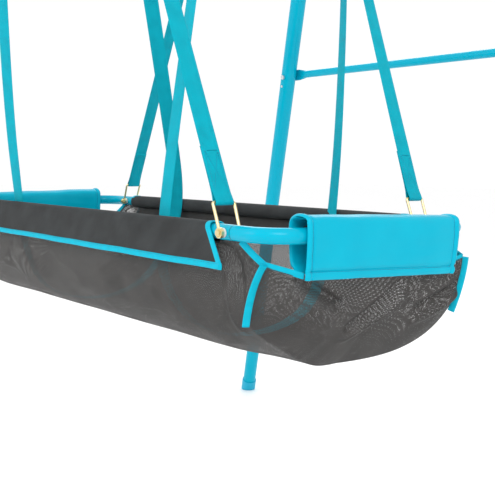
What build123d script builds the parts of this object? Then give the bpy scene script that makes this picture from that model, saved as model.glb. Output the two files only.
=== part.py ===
# Garden swing hammock: a boat-shaped mesh basket on a rectangular tube frame, hung by webbing
# straps from the top bar of a stand made of two splayed A-frames.
# Frame: origin on the ground under the middle of the basket, +Z up, X along the hammock,
# Y along the top bar. "left" is -X, "right" is +X, "near" is -Y and "far" is +Y.
import os
from math import atan2, cos, pi, radians, sin, tan

from build123d import *

os.makedirs("parts", exist_ok=True)

# ---------------------------------------------------------------- driving dimensions, mm
# Stand
bar_z = 2228.0            # height of the top bar's axis
bar_d = 48.0              # top bar tube, outside
bar_wall = 2.0
apex_x = 22.0             # where a leg's axis meets the height of the bar's axis
apex_y = 545.0
foot_x = 912.0            # where a leg's axis meets the ground
foot_y = 965.0
leg_d = 46.0              # leg tubes, outside
leg_wall = 1.8
lower_leg_wall = 2.8
leg_joint_z = 1090.0      # height of the seam between upper and lower leg
swage_length = 70.0       # neck of the lower leg inside the upper leg
screw_rise = 14.0         # from the seam up to its two screws
screw_d = 4.0
screw_bite = 5.0          # length of a screw inside the leg
screw_head = 2.2
leg_start = 34.0          # distance from the apex to the cut end of a leg
socket_wall = 3.0         # wall of the apex bracket's sockets
socket_length = 128.0     # reach of a leg socket down the leg
socket_bolt_inset = 34.0  # from a leg socket's rim to its bolt
bar_socket_length = 70.0
bar_bolt_inset = 20.0     # from the bar socket's rim to its bolt
bar_end_gap = 24.0        # from the apex to the cut end of the top bar
brace_z = 1130.0          # height of the braces' axes
brace_d = 22.0
brace_flat = 4.0          # thickness of a brace's flattened end
brace_flat_height = 33.0
brace_flat_length = 46.0
brace_taper = 34.0        # length over which the round tube turns flat
cap_wall = 3.0            # foot cap
cap_base = 7.0
cap_height = 46.0
frame_bolt_d = 8.0

# Hangers under the top bar
pivot_drop = 46.0         # from the bar's axis down to the pivots
main_y = 292.0            # main hanger, from the middle
outer_gap = 109.0         # from the outer sling hanger to the apex
inner_y = 190.0           # inner sling hanger
clamp_wall = 4.0
cheek = 4.5               # thickness of a clamp's cheeks
cheek_gap = 2.0           # between a hook's arms and the cheeks
cheek_half = 17.0         # half width of a cheek, which is also its end radius
pivot_bolt_d = 10.0
bush_d = 16.0
hook_barrel_d = 23.0
hook_wire = 8.0
hook_drop = 52.0          # from the pivot down to the bar that carries the webbing

# Hammock frame
rim_z = 745.0             # height of the hammock tubes' axes
tube_d = 25.4
tube_wall = 1.5
rim_y = 225.0             # long tubes' axes, from the middle
end_x = 643.0             # end tubes' axes, from the middle
bolt_gap = 108.0          # from the ring bolts to the end tubes' axes
corner_r = 60.0
seam_gap = 14.0           # from a ring bolt to the seam between long tube and end tube
spigot_length = 62.0

# Corner rings
ring_wire = 5.0
ring_room = 7.3           # from the tube's surface to the middle of a ring's eye
ring_eye_d = 17.0
ring_height = 50.0        # from the bolt to the ring's top wire
ring_bolt_d = 6.0

# Webbing
webbing_width = 35.0
webbing_thick = 2.0
webbing_gap = 1.0         # between the webbing's edge and a hook or ring
tail_length = 95.0        # doubled end above a corner ring
sling_tube_d = 8.0        # round stand-in for a loose flat sling

# Fabric
sleeve_thick = 1.8
sleeve_gap = 15.0         # from a sleeve's end to the ring bolts
skirt_drop = 60.0         # hem below the rim's axis
cuff_gap = 57.0           # from a cuff's end to the long tubes' axes
cuff_thick = 7.0
cuff_in_cover = 17.3      # from the end tube's surface to a cuff's inner face
cuff_out_cover = 8.3      # the same at the outer face
cuff_top_cover = 19.3
cuff_drop = 66.0          # hem of the outer flap, below the rim's axis
cuff_inner_drop = 42.0    # hem of the inner flap
cuff_round = 20.0
pad_under = 4.0           # foam below the tube
basket_side_gap = 3.0     # from a long tube's axis to the basket's side
basket_depth = 240.0      # below the rim's axis
basket_wall = 2.5
basket_side = 45.0        # straight part of the side walls, below the rim's axis
basket_overhang = 7.0     # end panel at the cuff's hem, beyond the end tube's axis
basket_floor_gap = 101.0  # end panel at the floor, from the end tube's axis
basket_corner_gap = 43.0  # corner seam, from the end tube's axis
corner_cut_gap = 90.0     # where the open corner starts on the long side
corner_cut_drop = 48.0
corner_seam_run = 20.0    # from the corner seam to where the end panel's hem starts

# Clearances
fit = 0.4                 # diameter of a hole over what passes through it
seat = 0.3                # gap between soft parts and what they wrap
beyond = 10.0             # how far a cutter runs past what it cuts
open_above = 60.0         # how far the basket's hollow runs up past its rim

# ---------------------------------------------------------------- derived places
pivot_z = bar_z - pivot_drop
hook_z = pivot_z - hook_drop
outer_y = apex_y - outer_gap
arm_y = webbing_width / 2 + webbing_gap + hook_wire / 2      # middle of a hook's arm
clamp_width = 2 * (arm_y + hook_wire / 2 + cheek_gap + cheek)
bolt_x = end_x - bolt_gap
seam_x = bolt_x + seam_gap
ring_eye_y = tube_d / 2 + ring_room
sleeve_half = bolt_x - sleeve_gap
cuff_half = rim_y - cuff_gap
cuff_in = tube_d / 2 + cuff_in_cover
cuff_out = tube_d / 2 + cuff_out_cover
cuff_top = tube_d / 2 + cuff_top_cover
basket_half_width = rim_y - basket_side_gap
basket_end_x = end_x + basket_overhang
basket_floor_x = end_x - basket_floor_gap
basket_corner_x = end_x - basket_corner_gap
corner_cut_x = end_x - corner_cut_gap
cap_d = leg_d + 2 * cap_wall
frame_lean = atan2(foot_y - apex_y, bar_z)
sides = {"near": -1, "far": 1}
ends = {"left": -1, "right": 1}


def outward(side):
    """Unit normal of an A-frame's plane, away from the hammock."""
    return Vector(0, side * cos(frame_lean), sin(frame_lean))


def leg_point(end, side, distance):
    """Point on a leg's axis, at a distance down the leg from the apex."""
    top = Vector(end * apex_x, side * apex_y, bar_z)
    foot = Vector(end * foot_x, side * foot_y, 0)
    return top + (foot - top).normalized() * distance


def leg_direction(end, side):
    return leg_point(end, side, 1) - leg_point(end, side, 0)


def leg_distance(height):
    """Distance down a leg at which its axis is at a height."""
    return (bar_z - height) / -leg_direction(1, 1).Z


def tube(start, end_point, outer_d, wall):
    """Straight round tube between two points."""
    run = end_point - start
    with BuildPart() as piece:
        with BuildSketch(Plane(origin=start, z_dir=run)):
            Circle(outer_d / 2)
            Circle(outer_d / 2 - wall, mode=Mode.SUBTRACT)
        extrude(amount=run.length)
    return piece.part


def drill(centre, direction, diameter, reach):
    """Round cutter through a point, both ways."""
    with BuildPart() as piece:
        with BuildSketch(Plane(origin=centre, z_dir=direction)):
            Circle(diameter / 2)
        extrude(amount=reach, both=True)
    return piece.part


def hex_bolt(centre, direction, diameter, grip):
    """Bolt along a direction, with its domed hex head at the far end of the grip."""
    head_plane = Plane(origin=centre + direction * (grip / 2), z_dir=direction)
    tail = centre - direction * (grip / 2 + 1.3 * diameter)
    with BuildPart() as piece:
        with BuildSketch(Plane(origin=tail, z_dir=direction)):
            Circle(diameter / 2)
        extrude(amount=grip + 1.3 * diameter)
        with BuildSketch(head_plane):
            RegularPolygon(radius=0.95 * diameter, side_count=6)
        extrude(amount=0.6 * diameter)
        chamfer(piece.faces().sort_by(Axis(centre, direction))[-1].edges(), 0.12 * diameter)
    return piece.part


def hex_nut(centre, direction, diameter, grip):
    """Nut at the near end of the grip."""
    with BuildPart() as piece:
        with BuildSketch(Plane(origin=centre - direction * (grip / 2), z_dir=direction * -1)):
            RegularPolygon(radius=0.95 * diameter, side_count=6)
            Circle(diameter / 2 + fit / 4, mode=Mode.SUBTRACT)
        extrude(amount=0.8 * diameter)
    return piece.part


def save(part, name):
    part.label = name
    export_step(part, f"parts/{name}.step")


def save_group(parts, name):
    save(Compound(children=list(parts)), name)


# ---------------------------------------------------------------- stand
# Bolts of one A-frame: one through each leg socket, along the frame's normal.
socket_bolt_at = socket_length - socket_bolt_inset
brace_bolt_at = leg_distance(brace_z)
seam_at = leg_distance(leg_joint_z)
bar_bolt_y = apex_y - bar_socket_length + bar_bolt_inset
brace_offset = leg_d / 2 + brace_flat / 2 + seat

with BuildPart() as top_bar:
    with BuildSketch(Plane.XZ.offset(-(apex_y - bar_end_gap)).shift_origin((0, apex_y - bar_end_gap, bar_z))):
        Circle(bar_d / 2)
        Circle(bar_d / 2 - bar_wall, mode=Mode.SUBTRACT)
    extrude(amount=2 * (apex_y - bar_end_gap))
    for side in sides.values():
        add(drill(Vector(0, side * bar_bolt_y, bar_z), Vector(0, 0, 1), frame_bolt_d + fit, bar_d),
            mode=Mode.SUBTRACT)
save(top_bar.part, "top_bar")

apex_bolts = []
apex_nuts = []
for side_name, side in sides.items():
    with BuildPart() as apex_bracket:
        for end in ends.values():
            with BuildSketch(Plane(origin=leg_point(end, side, 0), z_dir=leg_direction(end, side))):
                Circle(leg_d / 2 + seat + socket_wall)
            extrude(amount=socket_length)
        with BuildSketch(Plane(origin=(0, side * (apex_y - bar_socket_length), bar_z), z_dir=(0, side, 0))):
            Circle(bar_d / 2 + seat + socket_wall)
        extrude(amount=bar_socket_length + leg_d / 2)
        for end in ends.values():
            bore = Plane(origin=leg_point(end, side, leg_start - 1), z_dir=leg_direction(end, side))
            with BuildSketch(bore):
                Circle(leg_d / 2 + seat)
            extrude(amount=socket_length, mode=Mode.SUBTRACT)
            add(drill(leg_point(end, side, socket_bolt_at), outward(side), frame_bolt_d + fit, leg_d),
                mode=Mode.SUBTRACT)
        with BuildSketch(Plane(origin=(0, side * (apex_y - bar_end_gap + 1), bar_z), z_dir=(0, -side, 0))):
            Circle(bar_d / 2 + seat)
        extrude(amount=bar_socket_length, mode=Mode.SUBTRACT)
        add(drill(Vector(0, side * bar_bolt_y, bar_z), Vector(0, 0, 1), frame_bolt_d + fit, bar_d),
            mode=Mode.SUBTRACT)
    save(apex_bracket.part, f"apex_bracket_{side_name}")

    leg_grip = leg_d + 2 * (seat + socket_wall)
    for end in ends.values():
        spot = leg_point(end, side, socket_bolt_at)
        apex_bolts.append(hex_bolt(spot, outward(side), frame_bolt_d, leg_grip))
        apex_nuts.append(hex_nut(spot, outward(side), frame_bolt_d, leg_grip))
    bar_grip = bar_d + 2 * (seat + socket_wall)
    spot = Vector(0, side * bar_bolt_y, bar_z)
    apex_bolts.append(hex_bolt(spot, Vector(0, 0, 1), frame_bolt_d, bar_grip))
    apex_nuts.append(hex_nut(spot, Vector(0, 0, 1), frame_bolt_d, bar_grip))
save_group(apex_bolts, "apex_bolts")
save_group(apex_nuts, "apex_nuts")

joint_screws = []
brace_bolts = []
brace_nuts = []
screw_at = seam_at - screw_rise
cap_bottom_at = leg_distance(0)
for side_name, side in sides.items():
    for end_name, end in ends.items():
        normal = outward(side)
        direction = leg_direction(end, side)
        brace_spot = leg_point(end, side, brace_bolt_at)
        screw_spot = leg_point(end, side, screw_at)

        # Upper leg: plain tube from the apex bracket down to the seam.
        with BuildPart() as upper_leg:
            add(tube(leg_point(end, side, leg_start), leg_point(end, side, seam_at), leg_d, leg_wall))
            add(drill(leg_point(end, side, socket_bolt_at), normal, frame_bolt_d + fit, leg_d),
                mode=Mode.SUBTRACT)
            add(drill(brace_spot, normal, frame_bolt_d + fit, leg_d), mode=Mode.SUBTRACT)
            add(drill(screw_spot, normal, screw_d + fit, leg_d), mode=Mode.SUBTRACT)
        save(upper_leg.part, f"upper_leg_{side_name}_{end_name}")

        # Lower leg: the neck slides into the upper leg, the cut foot stands in its cap.
        neck_d = leg_d - 2 * leg_wall - fit
        with BuildPart() as lower_leg:
            add(tube(leg_point(end, side, seam_at - swage_length), leg_point(end, side, seam_at + 4),
                     neck_d, leg_wall))
            add(tube(leg_point(end, side, seam_at + 0.2), leg_point(end, side, cap_bottom_at + leg_d),
                     leg_d, lower_leg_wall))
            split(bisect_by=Plane.XY.offset(cap_base), keep=Keep.TOP)
            add(drill(brace_spot, normal, frame_bolt_d + fit, leg_d), mode=Mode.SUBTRACT)
            add(drill(screw_spot, normal, screw_d + fit, leg_d), mode=Mode.SUBTRACT)
        save(lower_leg.part, f"lower_leg_{side_name}_{end_name}")

        # Foot cap: a slanted cup, cut flat where it stands on the ground.
        with BuildPart() as foot_cap:
            cup = Plane(origin=leg_point(end, side, cap_bottom_at - cap_height), z_dir=direction)
            with BuildSketch(cup):
                Circle(cap_d / 2)
            extrude(amount=cap_height + cap_d)
            split(bisect_by=Plane.XY, keep=Keep.TOP)
            fillet(foot_cap.faces().sort_by(Axis.Z)[0].edges(), 4)
            with BuildPart(mode=Mode.PRIVATE) as cup_bore:
                with BuildSketch(cup):
                    Circle(leg_d / 2 + seat / 2)
                extrude(amount=cap_height + cap_d)
                split(bisect_by=Plane.XY.offset(cap_base - seat / 2), keep=Keep.TOP)
            add(cup_bore.part, mode=Mode.SUBTRACT)
        save(foot_cap.part, f"foot_cap_{side_name}_{end_name}")

        for face in (-1, 1):
            head = Plane(origin=screw_spot + normal * (face * leg_d / 2), z_dir=normal * face)
            with BuildPart() as screw:
                with BuildSketch(head.offset(-screw_bite)):
                    Circle(screw_d / 2)
                extrude(amount=screw_bite + fit)
                with BuildSketch(head.offset(fit / 4)):
                    Circle(screw_d)
                extrude(amount=screw_head)
                fillet(screw.faces().sort_by(Axis(screw_spot, normal * face))[-1].edges(), 1)
            joint_screws.append(screw.part)

        # The brace bolt's head is on the hammock's side, its nut outside the flattened brace.
        grip = leg_d + brace_flat + seat
        middle = brace_spot + normal * ((brace_flat + seat) / 2)
        brace_bolts.append(hex_bolt(middle, normal * -1, frame_bolt_d, grip))
        brace_nuts.append(hex_nut(middle, normal * -1, frame_bolt_d, grip))

    # Brace: round tube whose flattened ends are bolted to the outside of the legs.
    reach = leg_point(1, side, brace_bolt_at).X
    round_half = reach + brace_flat_length / 2 - brace_flat_length - brace_taper
    axis_point = Vector(0, leg_point(1, side, brace_bolt_at).Y, brace_z) + outward(side) * brace_offset
    with BuildPart() as brace:
        across = Plane(origin=axis_point, x_dir=outward(side), z_dir=(1, 0, 0))
        with BuildSketch(across):
            Circle(brace_d / 2)
            Circle(brace_d / 2 - 1.5, mode=Mode.SUBTRACT)
        extrude(amount=round_half, both=True)
        for end in ends.values():
            away = Plane(origin=axis_point + Vector(end * round_half, 0, 0), x_dir=outward(side),
                         z_dir=(end, 0, 0))
            with BuildSketch(away):
                Circle(brace_d / 2)
            with BuildSketch(away.offset(brace_taper)):
                RectangleRounded(brace_flat, brace_flat_height, brace_flat / 2 - 0.2)
            loft()
            with BuildSketch(away.offset(brace_taper)):
                RectangleRounded(brace_flat, brace_flat_height, brace_flat / 2 - 0.2)
            extrude(amount=brace_flat_length)
            add(drill(leg_point(end, side, brace_bolt_at) + outward(side) * brace_offset, outward(side),
                      frame_bolt_d + fit, brace_flat), mode=Mode.SUBTRACT)
    save(brace.part, f"brace_{side_name}")
save_group(joint_screws, "leg_joint_screws")
save_group(brace_bolts, "brace_bolts")
save_group(brace_nuts, "brace_nuts")


# ---------------------------------------------------------------- hangers
def hanger_clamp(y):
    """Clamp round the top bar, with two cheeks that carry a pivot bolt below it."""
    middle = Plane(origin=(0, y, bar_z), x_dir=(1, 0, 0), z_dir=(0, -1, 0))
    with BuildPart() as piece:
        with BuildSketch(middle):
            Circle(bar_d / 2 + clamp_wall)
            with Locations((0, -pivot_drop / 2)):
                Rectangle(2 * cheek_half, pivot_drop)
            with Locations((0, -pivot_drop)):
                Circle(cheek_half)
        extrude(amount=clamp_width / 2, both=True)
        with BuildSketch(middle):
            Circle(bar_d / 2 + fit / 2)
            with Locations((0, -pivot_drop)):
                Circle(pivot_bolt_d / 2 + fit / 2)
        extrude(amount=clamp_width, both=True, mode=Mode.SUBTRACT)
        with BuildSketch(middle):
            with Locations((0, -pivot_drop - bar_d / 2 - clamp_wall)):
                Rectangle(3 * cheek_half, 2 * pivot_drop)
        extrude(amount=clamp_width / 2 - cheek, both=True, mode=Mode.SUBTRACT)
    return piece.part


def webbing_hook(y):
    """Barrel on the bush, two arms, and the round bar that carries the webbing."""
    middle = Plane(origin=(0, y, pivot_z), x_dir=(1, 0, 0), z_dir=(0, -1, 0))
    barrel_half = clamp_width / 2 - cheek - cheek_gap
    with BuildPart() as piece:
        with BuildSketch(middle):
            Circle(hook_barrel_d / 2)
        extrude(amount=barrel_half, both=True)
        for way in (-1, 1):
            with BuildSketch(middle.offset(way * arm_y)):
                with Locations((0, -hook_drop / 2)):
                    SlotCenterToCenter(hook_drop, hook_wire + 2, rotation=90)
            extrude(amount=hook_wire / 2, both=True)
        with BuildSketch(middle):
            with Locations((0, -hook_drop)):
                Circle(hook_wire / 2)
        extrude(amount=arm_y, both=True)
        with BuildSketch(middle):
            Circle(bush_d / 2 + fit / 4)
        extrude(amount=clamp_width, both=True, mode=Mode.SUBTRACT)
    return piece.part


def hanger_bush(y):
    middle = Plane(origin=(0, y, pivot_z), x_dir=(1, 0, 0), z_dir=(0, -1, 0))
    with BuildPart() as piece:
        with BuildSketch(middle):
            Circle(bush_d / 2)
            Circle(pivot_bolt_d / 2 + fit / 2, mode=Mode.SUBTRACT)
        extrude(amount=clamp_width / 2 - cheek - 0.6, both=True)
    return piece.part


for side_name, side in sides.items():
    save(hanger_clamp(side * main_y), f"main_hanger_{side_name}")
    save(webbing_hook(side * main_y), f"main_hook_{side_name}")
sling_ys = (-outer_y, -inner_y, inner_y, outer_y)
save_group([hanger_clamp(y) for y in sling_ys], "sling_hangers")
save_group([webbing_hook(y) for y in sling_ys], "sling_hooks")
all_ys = sorted(side * y for side in sides.values() for y in (main_y, outer_y, inner_y))
save_group([hanger_bush(y) for y in all_ys], "hanger_bushes")
along = Vector(0, 1, 0)
pivot_spots = [Vector(0, y, pivot_z) for y in all_ys]
save_group([hex_bolt(p, along, pivot_bolt_d, clamp_width + 1) for p in pivot_spots], "hanger_bolts")
save_group([hex_nut(p, along, pivot_bolt_d, clamp_width + 1) for p in pivot_spots], "hanger_nuts")

# ---------------------------------------------------------------- hammock frame
for side_name, side in sides.items():
    with BuildPart() as long_tube:
        add(tube(Vector(-seam_x, side * rim_y, rim_z), Vector(seam_x, side * rim_y, rim_z),
                 tube_d, tube_wall))
        for end in ends.values():
            add(drill(Vector(end * bolt_x, side * rim_y, rim_z), along, ring_bolt_d + fit, tube_d),
                mode=Mode.SUBTRACT)
    save(long_tube.part, f"long_tube_{side_name}")

for end_name, end in ends.items():
    start_x = end * (seam_x + 0.2)
    with BuildPart() as end_tube:
        with BuildLine(Plane.XY.offset(rim_z)) as bend:
            FilletPolyline((start_x, -rim_y), (end * end_x, -rim_y), (end * end_x, rim_y),
                           (start_x, rim_y), radius=corner_r)
        with BuildSketch(Plane(origin=(start_x, -rim_y, rim_z), z_dir=(end, 0, 0))):
            Circle(tube_d / 2)
            Circle(tube_d / 2 - tube_wall, mode=Mode.SUBTRACT)
        sweep(path=bend.line)
        for side in sides.values():
            add(tube(Vector(end * (seam_x - spigot_length), side * rim_y, rim_z),
                     Vector(end * (seam_x + 5), side * rim_y, rim_z),
                     tube_d - 2 * tube_wall - fit, tube_wall))
            add(tube(Vector(start_x, side * rim_y, rim_z),
                     Vector(start_x + end * 4, side * rim_y, rim_z), tube_d, 2 * tube_wall))
            add(drill(Vector(end * bolt_x, side * rim_y, rim_z), along, ring_bolt_d + fit, tube_d),
                mode=Mode.SUBTRACT)
    save(end_tube.part, f"end_tube_{end_name}")

# Corner rings lean towards the hangers; each straddles the tube on its bolt.
ring_lean = atan2(bolt_x, hook_z - rim_z)
ring_bolts = []
ring_nuts = []
ring_spacers = []
ring_grip = 2 * ring_eye_y + ring_wire
for side_name, side in sides.items():
    for end_name, end in ends.items():
        corner = Vector(end * bolt_x, side * rim_y, rim_z)
        up = Vector(-end * sin(ring_lean), 0, cos(ring_lean))
        ring_plane = Plane(origin=corner, x_dir=(0, 1, 0), z_dir=Vector(0, 1, 0).cross(up))
        top_y = webbing_width / 2 + webbing_gap + ring_wire / 2
        with BuildPart() as corner_ring:
            with BuildLine(ring_plane) as wire:
                FilletPolyline((-ring_eye_y, 6), (-top_y, ring_height), (top_y, ring_height),
                               (ring_eye_y, 6), radius=0.7 * ring_wire)
            with BuildSketch(Plane(origin=wire.line @ 0, z_dir=wire.line % 0)):
                Circle(ring_wire / 2)
            sweep(path=wire.line)
            for way in (-1, 1):
                with BuildSketch(Plane(origin=corner + along * (way * ring_eye_y), z_dir=along)):
                    Circle(ring_eye_d / 2)
                extrude(amount=ring_wire / 2, both=True)
            add(drill(corner, along, ring_bolt_d + fit, 2 * ring_eye_y), mode=Mode.SUBTRACT)
        save(corner_ring.part, f"corner_ring_{side_name}_{end_name}")

        ring_bolts.append(hex_bolt(corner, along * side, ring_bolt_d, ring_grip))
        ring_nuts.append(hex_nut(corner, along * side, ring_bolt_d, ring_grip))
        for way in (-1, 1):
            inner_face = tube_d / 2 + 0.1
            spacer_plane = Plane(origin=corner + along * (way * inner_face), z_dir=along * way)
            with BuildPart() as spacer:
                with BuildSketch(spacer_plane):
                    Circle(ring_eye_d / 2 - 1)
                    Circle(ring_bolt_d / 2 + fit / 2, mode=Mode.SUBTRACT)
                extrude(amount=ring_eye_y - ring_wire / 2 - inner_face)
            ring_spacers.append(spacer.part)
save_group(ring_bolts, "ring_bolts")
save_group(ring_nuts, "ring_nuts")
save_group(ring_spacers, "ring_spacers")

# ---------------------------------------------------------------- webbing
# One webbing each side: ring, up over the hook's bar, and down to the other ring.
for side_name, side in sides.items():
    ring_top = ring_height * cos(ring_lean)
    low = Vector(0, side * rim_y, rim_z + ring_top)
    high = Vector(0, side * main_y, hook_z)
    rise = high - low
    half_span = bolt_x - ring_height * sin(ring_lean)
    web_plane = Plane(origin=low, x_dir=(1, 0, 0), z_dir=Vector(1, 0, 0).cross(rise))
    tilt_room = webbing_width / 2 * (high.Y - low.Y) * side / rise.length
    wire_hole = ring_wire / 2 + seat + tilt_room
    bar_hole = hook_wire / 2 + seat + tilt_room
    slope = atan2(rise.length, half_span)
    with BuildPart() as strap:
        with BuildSketch(web_plane):
            for end in ends.values():
                along_strap = Vector(-end * cos(slope), sin(slope))
                foot = Vector(end * half_span, 0)
                with BuildLine():
                    Line(foot, (0, rise.length))
                trace(line_width=webbing_thick)
                with BuildLine():
                    Line(foot, foot + along_strap * tail_length)
                trace(line_width=2 * webbing_thick)
                with Locations(foot):
                    Circle(wire_hole + webbing_thick)
            with Locations((0, rise.length)):
                Circle(bar_hole + webbing_thick)
                Circle(bar_hole, mode=Mode.SUBTRACT)
            for end in ends.values():
                with Locations((end * half_span, 0)):
                    Circle(wire_hole, mode=Mode.SUBTRACT)
        extrude(amount=webbing_width / 2, both=True)
    save(strap.part, f"strap_{side_name}")

# Loose slings: down from an outer hook, across the basket's floor and up to an inner hook.
# Heights are above the rim's axis. The other sling is the same, turned half round.
sling_top = hook_z - rim_z - hook_wire - 4
sling_route = [
    (0, -outer_y, sling_top), (-80, -374, sling_top - 380), (-178, -302, 586), (-249, -245, 214),
    (-291, -205, 12), (-294, -200, -92), (-293, -153, -170), (-291, -88, -213), (-290, -4, -230),
    (-291, 84, -214), (-293, 150, -171), (-294, 199, -94), (-288, 200, 14), (-252, 142, 210),
    (-163, 20, 590), (-76, -98, sling_top - 382), (0, -inner_y, sling_top),
]


def sling_radii(points):
    """Largest arc that each corner's two runs allow."""
    radii = []
    for before, here, after in zip(points, points[1:], points[2:]):
        arriving = here - before
        leaving = after - here
        half_turn = radians(arriving.get_angle(leaving) / 2)
        radii.append(0.45 * min(arriving.length, leaving.length) / tan(half_turn))
    return radii


for end_name, turn in (("left", 1), ("right", -1)):
    points = [Vector(turn * x, turn * y, rim_z + z) for x, y, z in sling_route]
    radii = sling_radii(points)
    with BuildPart() as sling:
        with BuildLine() as route:
            FilletPolyline(*points, radius=radii)
        with BuildSketch(Plane(origin=route.line @ 0, z_dir=route.line % 0)):
            Circle(sling_tube_d / 2)
        sweep(path=route.line)
    length = sum(edge.length for edge in route.line.edges())
    expected = length * pi * sling_tube_d ** 2 / 4
    print(end_name, "sling length", round(length), "radii", [round(r) for r in radii])
    print(end_name, "sling volume over section x length", round(sling.part.volume / expected, 4))
    save(sling.part, f"sling_{end_name}")


# ---------------------------------------------------------------- fabric
def basket_form(inset, lift):
    """Solid boat shape of the basket: trough, raked ends and blunt corners."""
    half_width = basket_half_width - inset
    end = basket_end_x - inset
    top = rim_z - tube_d / 2 - sleeve_thick - 2 * seat
    end_top = rim_z - cuff_drop - 2
    rake = (basket_end_x - basket_floor_x) / (basket_depth - cuff_drop)
    with BuildPart() as piece:
        with BuildSketch(Plane.YZ):
            with BuildLine():
                EllipticalCenterArc((0, rim_z - basket_side), half_width,
                                    basket_depth - basket_side - inset, start_angle=180, arc_size=180)
                Polyline((half_width, rim_z - basket_side), (half_width, top + lift),
                         (-half_width, top + lift), (-half_width, rim_z - basket_side))
            make_face()
        extrude(amount=end + beyond, both=True)
        with BuildSketch(Plane.XZ):
            floor_x = end - rake * (basket_depth - cuff_drop)
            with BuildLine():
                Polyline((0, rim_z - basket_depth - beyond), (floor_x, rim_z - basket_depth),
                         (end + rake * lift, end_top + lift),
                         (basket_corner_x + corner_seam_run, end_top + lift),
                         (basket_corner_x, rim_z - corner_cut_drop + lift),
                         (corner_cut_x, top + lift), (0, top + lift), close=True)
            make_face()
            mirror(about=Plane.YZ)
        extrude(amount=basket_half_width + beyond, both=True, mode=Mode.INTERSECT)
        with BuildSketch(Plane.XY.offset(rim_z - basket_depth - beyond)):
            with BuildLine():
                Polyline((0, half_width), (basket_corner_x - inset, half_width), (end, cuff_half - inset),
                         (end, 0), (0, 0), close=True)
            make_face()
            mirror(about=Plane.YZ)
            mirror(about=Plane.XZ)
        extrude(amount=basket_depth + 2 * beyond + lift, mode=Mode.INTERSECT)
    return piece.part


with BuildPart() as mesh_basket:
    add(basket_form(0, 0))
    add(basket_form(basket_wall, open_above), mode=Mode.SUBTRACT)
save(mesh_basket.part, "mesh_basket")

for side_name, side in sides.items():
    inside = tube_d / 2 + seat / 2
    outside = inside + sleeve_thick
    with BuildPart() as sleeve:
        with BuildSketch(Plane.YZ.offset(-sleeve_half)):
            with Locations((side * rim_y, rim_z)):
                Circle(outside)
            with Locations((side * (rim_y + outside - sleeve_thick / 2), rim_z - skirt_drop / 2)):
                Rectangle(sleeve_thick, skirt_drop)
            with Locations((side * rim_y, rim_z)):
                Circle(inside, mode=Mode.SUBTRACT)
        extrude(amount=2 * sleeve_half)
    save(sleeve.part, f"sleeve_{side_name}")

for end_name, end in ends.items():
    width = cuff_in + cuff_out
    middle_x = end * (end_x + (cuff_out - cuff_in) / 2)
    height = cuff_top + cuff_drop
    cavity_width = width - 2 * cuff_thick
    cavity_top = rim_z + cuff_top - cuff_thick

    # Cuff: padded vinyl laid over the end tube; its outer flap hangs lower than the inner one.
    with BuildPart() as cuff:
        with BuildSketch(Plane.XZ) as cuff_section:
            with Locations((middle_x, rim_z + (cuff_top - cuff_drop) / 2)):
                Rectangle(width, height)
            fillet(cuff_section.vertices().group_by(Axis.Y)[-1], cuff_round)
        extrude(amount=cuff_half, both=True)
        with BuildSketch(Plane.XZ) as cavity_section:
            with Locations((middle_x, cavity_top - height / 2)):
                Rectangle(cavity_width, height)
            fillet(cavity_section.vertices().group_by(Axis.Y)[-1], cuff_round - cuff_thick)
            with Locations((middle_x - end * width / 2, rim_z - cuff_inner_drop - height / 2)):
                Rectangle(width, height)
        extrude(amount=cuff_half, both=True, mode=Mode.SUBTRACT)
    save(cuff.part, f"cuff_{end_name}")

    # Foam between the cuff and the tube.
    pad_bottom = rim_z - tube_d / 2 - pad_under
    with BuildPart() as foam_pad:
        with BuildSketch(Plane.XZ) as pad_section:
            with Locations((middle_x, (cavity_top - seat + pad_bottom) / 2)):
                Rectangle(cavity_width - 2 * seat, cavity_top - seat - pad_bottom)
            fillet(pad_section.vertices().group_by(Axis.Y)[-1], cuff_round - cuff_thick)
            with Locations((end * end_x, rim_z)):
                Circle(tube_d / 2 + seat, mode=Mode.SUBTRACT)
        extrude(amount=cuff_half - 8, both=True)
    save(foam_pad.part, f"foam_pad_{end_name}")
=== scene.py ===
# Garden swing hammock on an A-frame stand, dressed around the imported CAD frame.
# Units are metres, +Z is up, X runs along the hammock and Y along the top bar.
import math

import bpy
from mathutils import Matrix, Vector, noise


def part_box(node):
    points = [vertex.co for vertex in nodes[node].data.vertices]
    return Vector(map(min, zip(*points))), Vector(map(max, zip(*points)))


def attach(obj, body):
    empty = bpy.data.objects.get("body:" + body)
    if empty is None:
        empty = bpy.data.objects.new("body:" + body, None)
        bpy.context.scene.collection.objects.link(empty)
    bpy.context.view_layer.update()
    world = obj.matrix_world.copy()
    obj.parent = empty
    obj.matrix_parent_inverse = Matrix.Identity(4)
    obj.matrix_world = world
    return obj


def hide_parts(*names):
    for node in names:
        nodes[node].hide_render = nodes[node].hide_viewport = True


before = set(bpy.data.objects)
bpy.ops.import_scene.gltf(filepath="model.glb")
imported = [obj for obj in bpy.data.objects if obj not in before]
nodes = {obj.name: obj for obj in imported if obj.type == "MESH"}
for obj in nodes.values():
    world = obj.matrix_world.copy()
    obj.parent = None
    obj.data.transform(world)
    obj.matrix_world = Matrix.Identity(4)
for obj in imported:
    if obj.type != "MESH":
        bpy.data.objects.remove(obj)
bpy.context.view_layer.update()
scene = bpy.context.scene
bpy.ops.object.select_all(action="DESELECT")


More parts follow.
